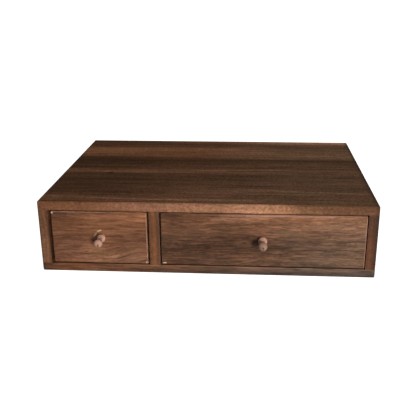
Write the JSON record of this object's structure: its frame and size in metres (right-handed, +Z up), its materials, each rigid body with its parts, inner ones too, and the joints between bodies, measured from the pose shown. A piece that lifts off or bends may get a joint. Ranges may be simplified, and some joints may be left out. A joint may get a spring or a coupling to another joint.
{
  "type": "puzzle box",
  "caption": "Flat walnut puzzle box with a small and a large drawer side by side, turned peg knobs, a hidden turning latch and a sliding bolt.",
  "frame": {"origin": "centre of the case's underside", "axes": "+Z up, +X to the right seen from the front, drawers open towards -Y"},
  "size_m": [0.305, 0.2471, 0.0685],
  "materials": {
    "top_walnut": "oiled",
    "case_walnut": "oiled",
    "front_walnut": "oiled",
    "drawer_wood": "planed, unfinished",
    "knob_wood": "turned, waxed",
    "pale_wood": "unfinished",
    "steel": "plain"
  },
  "bodies": {
    "case": {"top_front_board": "top_walnut", "top_middle_board": "top_walnut", "top_rear_board": "top_walnut", "bottom_front_board": "case_walnut", "bottom_rear_board": "case_walnut", "left_side": "case_walnut", "right_side": "case_walnut", "divider": "case_walnut", "back_panel": "case_walnut", "top_dowels": "pale_wood", "bottom_dowels": "pale_wood", "small_drawer_stops": "drawer_wood", "large_drawer_stops": "drawer_wood", "bolt_stop_pin": "steel"},
    "small_drawer": {"small_drawer_front": "front_walnut", "small_drawer_left_side": "drawer_wood", "small_drawer_right_side": "drawer_wood", "small_drawer_back": "drawer_wood", "small_drawer_bottom": "drawer_wood", "small_drawer_pegs": "pale_wood", "small_drawer_brads": "steel"},
    "small_knob": {"small_knob": "knob_wood", "turn_button": "front_walnut", "turn_button_pin": "steel"},
    "large_drawer": {"large_drawer_front": "front_walnut", "large_drawer_left_side": "drawer_wood", "large_drawer_right_side": "drawer_wood", "large_drawer_back": "drawer_wood", "large_drawer_bottom": "drawer_wood", "large_drawer_pegs": "pale_wood", "large_drawer_brads": "steel", "large_knob": "knob_wood"},
    "lock_bolt": {"lock_bolt": "front_walnut", "lock_bolt_head": "front_walnut", "lock_bolt_pull": "knob_wood"}
  },
  "joints": [
    {"name": "small_drawer_slide", "type": "slide", "parent": "case", "child": "small_drawer", "axis": [0, -1, 0], "range_m": [0, 0.125]},
    {"name": "small_knob_turn", "type": "hinge", "parent": "small_drawer", "child": "small_knob", "pos_m": [-0.0946, -0.1135, 0.0352], "axis": [0, -1, 0], "range_deg": [0, 90]},
    {"name": "large_drawer_slide", "type": "slide", "parent": "case", "child": "large_drawer", "axis": [0, -1, 0], "range_m": [0, 0.16]},
    {"name": "lock_bolt_slide", "type": "slide", "parent": "case", "child": "lock_bolt", "axis": [1, 0, 0], "range_m": [0, 0.0065]}
  ]
}
